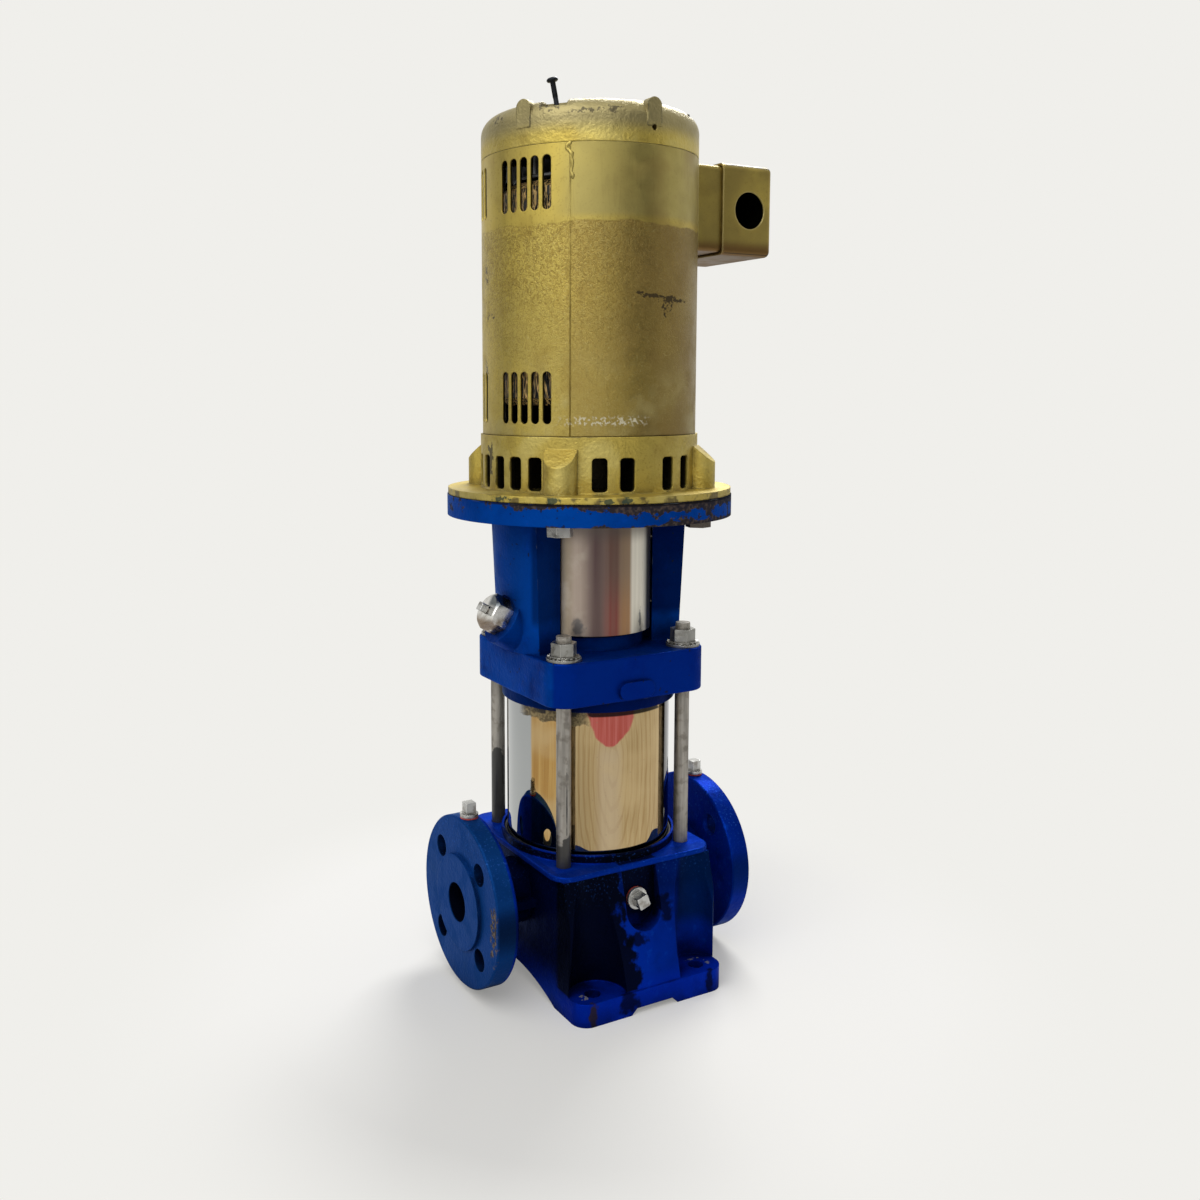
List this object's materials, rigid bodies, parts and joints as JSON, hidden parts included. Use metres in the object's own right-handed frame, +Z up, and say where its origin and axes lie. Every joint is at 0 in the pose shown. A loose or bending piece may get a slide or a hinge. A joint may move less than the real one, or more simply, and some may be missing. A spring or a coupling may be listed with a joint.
{
  "type": "vertical multistage pump",
  "caption": "Upright in-line pump: flanged foot, steel sleeve between tie rods, cast motor stool with a coupling guard, and a flange-mounted electric motor with a conduit box.",
  "frame": {"origin": "under the shaft axis on the floor plane, at the middle of the foot's bolt pattern", "axes": "+Z up along the shaft, -X out of the suction port, +X out of the discharge port, -Y towards the drain plug"},
  "size_m": [0.28, 0.2354, 0.7224],
  "materials": {
    "gold_paint": "satin metallic paint",
    "blue_paint": "satin paint over cast iron",
    "mirror_steel": "polished stainless steel",
    "satin_steel": "satin stainless steel",
    "dull_steel": "turned steel, dulled",
    "zinc_steel": "zinc plated",
    "pale_metal": "satin",
    "cast_iron": "rough casting",
    "copper": "lacquered windings",
    "core_steel": "stacked laminations",
    "light_alloy": "cast",
    "black_rubber": "soft",
    "red_seal": "soft",
    "carbon": "pressed carbon",
    "bush_metal": "machined"
  },
  "bodies": {
    "housing": {"motor_front_bell": "gold_paint", "motor_frame": "gold_paint", "motor_rear_bell": "gold_paint", "conduit_box_base": "gold_paint", "conduit_box_cover": "gold_paint", "pump_foot": "blue_paint", "motor_stool": "blue_paint", "outer_sleeve": "mirror_steel", "coupling_guard_front": "satin_steel", "coupling_guard_rear": "satin_steel", "stage_casing_1": "satin_steel", "stage_casing_2": "satin_steel", "stage_casing_3": "satin_steel", "stage_casing_4": "satin_steel", "inlet_guide": "satin_steel", "outlet_guide": "satin_steel", "seal_cover": "satin_steel", "tie_rods": "dull_steel", "through_bolts": "dull_steel", "loose_through_bolt": "dull_steel", "motor_mount_bolts": "dull_steel", "drive_bearing_outer_ring": "dull_steel", "rear_bearing_outer_ring": "dull_steel", "bearing_spring_washer": "dull_steel", "tie_rod_nuts": "zinc_steel", "tie_rod_washers": "zinc_steel", "guard_screws": "zinc_steel", "conduit_box_screws": "zinc_steel", "seal_cover_screws": "zinc_steel", "vent_plug": "pale_metal", "drain_plug": "pale_metal", "gauge_plugs": "pale_metal", "stator_windings": "copper", "stator_core": "core_steel", "sleeve_seals": "black_rubber", "plug_seals": "red_seal", "seal_stationary_seat": "carbon", "shaft_bushes": "bush_metal"},
    "rotor": {"pump_shaft": "dull_steel", "shaft_nut": "dull_steel", "impeller_1": "satin_steel", "impeller_2": "satin_steel", "impeller_3": "satin_steel", "impeller_4": "satin_steel", "shaft_sleeves": "satin_steel", "seal_spring_carrier": "satin_steel", "seal_bellows": "black_rubber", "seal_rotating_face": "carbon", "coupling_half_front": "cast_iron", "coupling_half_rear": "cast_iron", "coupling_bolts": "dull_steel", "coupling_pin": "dull_steel", "motor_shaft": "dull_steel", "rotor_core": "core_steel", "motor_fan": "light_alloy", "drive_bearing_inner_ring": "dull_steel", "rear_bearing_inner_ring": "dull_steel"},
    "cage_set": {"bearing_cages": "dull_steel", "bearing_balls": "dull_steel"},
    "bleed_valve": {"bleed_screw": "pale_metal"}
  },
  "joints": [
    {"name": "shaft_spin", "type": "hinge", "parent": "housing", "child": "rotor", "pos_m": [0, 0, 0.34], "axis": [0, 0, 1], "continuous": true},
    {"name": "cages_spin", "type": "hinge", "parent": "housing", "child": "cage_set", "pos_m": [0, 0, 0.432], "axis": [0, 0, 1], "continuous": true},
    {"name": "bleed_screw_turn", "type": "hinge", "parent": "housing", "child": "bleed_valve", "pos_m": [-0.082, 0, 0.3075], "axis": [-0.866, 0, 0.5], "range_deg": [0, 360]}
  ],
  "couplings": [
    {"joint": "cages_spin", "follows": "shaft_spin", "ratio": 0.397}
  ]
}
